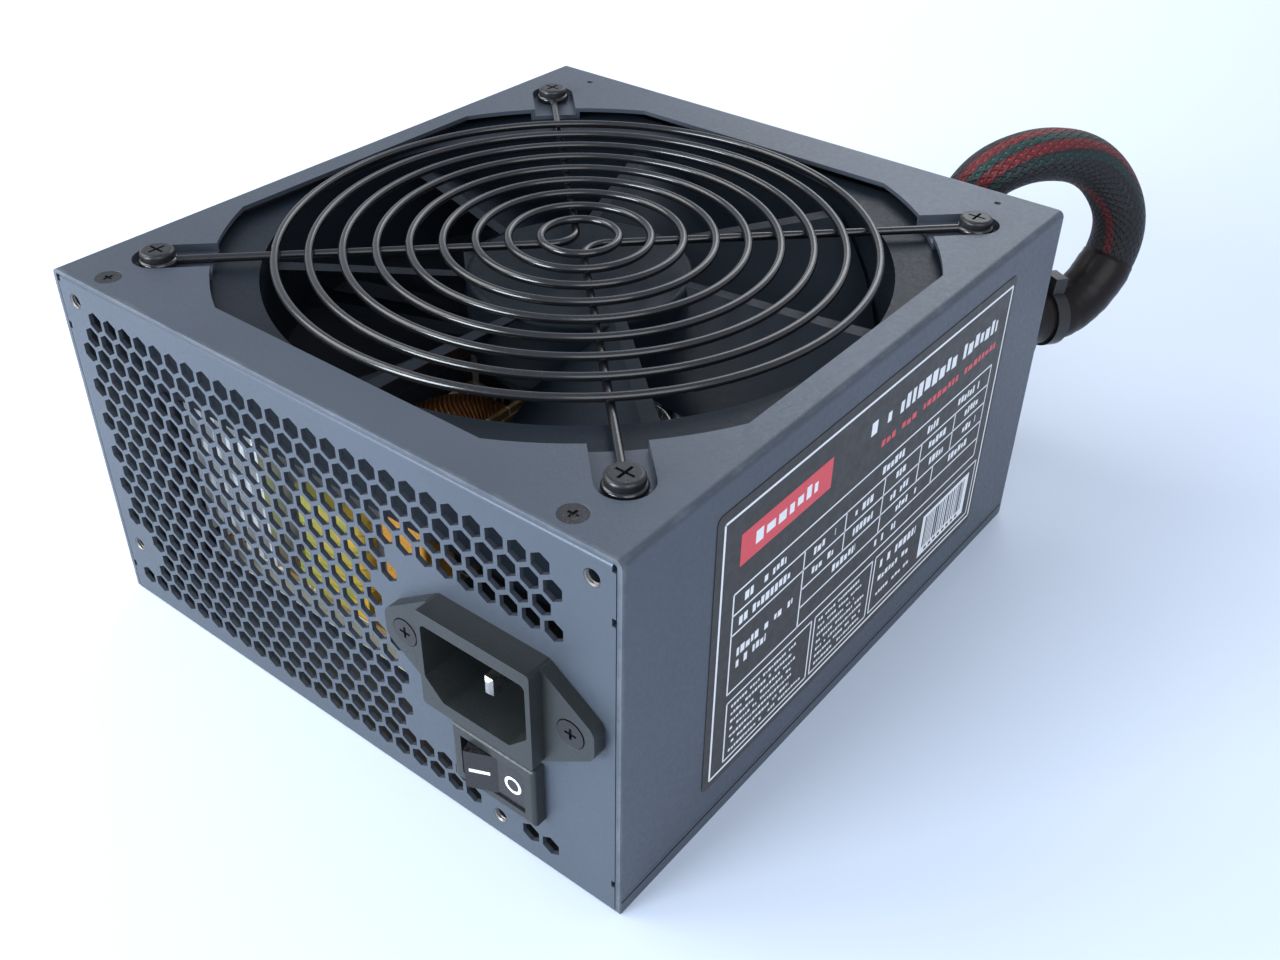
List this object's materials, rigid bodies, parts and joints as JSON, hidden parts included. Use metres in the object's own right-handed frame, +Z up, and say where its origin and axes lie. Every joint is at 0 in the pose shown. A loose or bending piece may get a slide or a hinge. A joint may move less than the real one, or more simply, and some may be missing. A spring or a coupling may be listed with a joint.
{
  "type": "computer power supply",
  "caption": "Boxed power supply with a top fan under a wire grill, mains inlet and rocker switch on a honeycomb end, and a sleeved output harness.",
  "frame": {"origin": "bottom centre of the case", "axes": "+Z up through the fan face, -Y towards the mains panel, +Y towards the cable panel, +X towards the rating label"},
  "size_m": [0.1771, 0.2771, 0.0935],
  "materials": {
    "case_paint": "satin",
    "black_wire": "gloss",
    "black_screw": "satin",
    "fan_plastic": "satin",
    "black_plastic": "satin",
    "rocker_plastic": "satin",
    "label_film": "satin",
    "tinned": "satin",
    "steel": "satin",
    "brass": "satin",
    "magnet": "matte",
    "copper_coil": "gloss",
    "stator_steel": "matte",
    "wire_insulation": "satin",
    "board_laminate": "satin",
    "sheet_film": "satin",
    "bare_aluminium": "satin",
    "epoxy_black": "matte",
    "ferrite": "matte",
    "yellow_tape": "satin",
    "capacitor_film": "gloss",
    "yellow_box": "satin",
    "fuse_metal": "satin",
    "nylon": "satin",
    "braid": "matte",
    "shrink_tube": "satin",
    "wire_bundle": "satin",
    "plug_plastic": "satin"
  },
  "bodies": {
    "case": {"base_tray": "case_paint", "cover": "case_paint", "cover_screws": "black_screw", "rating_label": "label_film", "fan_grill": "black_wire", "fan_screws": "black_screw", "fan_frame": "fan_plastic", "fan_bearing": "brass", "fan_stator": "stator_steel", "stator_coils": "copper_coil", "fan_motor_board": "board_laminate", "fan_lead": "wire_insulation", "fan_socket": "sheet_film", "inlet_housing": "black_plastic", "inlet_pins": "tinned", "inlet_screws": "black_screw", "inlet_nuts": "steel", "switch_body": "black_plastic", "switch_terminals": "tinned", "mains_wires": "wire_insulation", "circuit_board": "board_laminate", "board_posts": "brass", "board_screws": "steel", "insulation_sheet": "sheet_film", "primary_heatsink": "bare_aluminium", "secondary_heatsink": "bare_aluminium", "primary_transistors": "epoxy_black", "output_rectifiers": "epoxy_black", "bridge_rectifier": "epoxy_black", "transformer_core": "ferrite", "transformer_winding": "yellow_tape", "standby_core": "ferrite", "standby_winding": "yellow_tape", "output_choke": "copper_coil", "common_mode_choke": "copper_coil", "mains_filter_capacitor": "yellow_box", "bulk_capacitors": "capacitor_film", "output_capacitors": "capacitor_film", "fuse": "fuse_metal", "control_board": "board_laminate", "output_wires": "wire_insulation", "cable_bushing": "nylon", "harness": "braid", "harness_shrink": "shrink_tube", "harness_end_band": "shrink_tube", "exit_tie": "nylon", "wire_fan": "wire_bundle", "plug_housing": "plug_plastic", "plug_contacts": "brass"},
    "rotor": {"fan_rotor": "fan_plastic", "fan_magnet": "magnet", "fan_shaft": "steel"},
    "rocker": {"switch_rocker": "rocker_plastic"},
    "latch": {"plug_latch": "plug_plastic"}
  },
  "joints": [
    {"name": "fan_spin", "type": "hinge", "parent": "case", "child": "rotor", "pos_m": [0, -0.0012, 0.065], "axis": [0, 0, 1], "continuous": true},
    {"name": "rocker_switch", "type": "hinge", "parent": "case", "child": "rocker", "pos_m": [0.0468, -0.0775, 0.0218], "axis": [0, 0, -1], "range_deg": [0, 24]},
    {"name": "plug_latch_pivot", "type": "hinge", "parent": "case", "child": "latch", "pos_m": [0.013, 0.1655, 0.0117], "axis": [0, -1, 0], "range_deg": [0, 6], "stiffness_Nm_per_rad": 0.03}
  ]
}
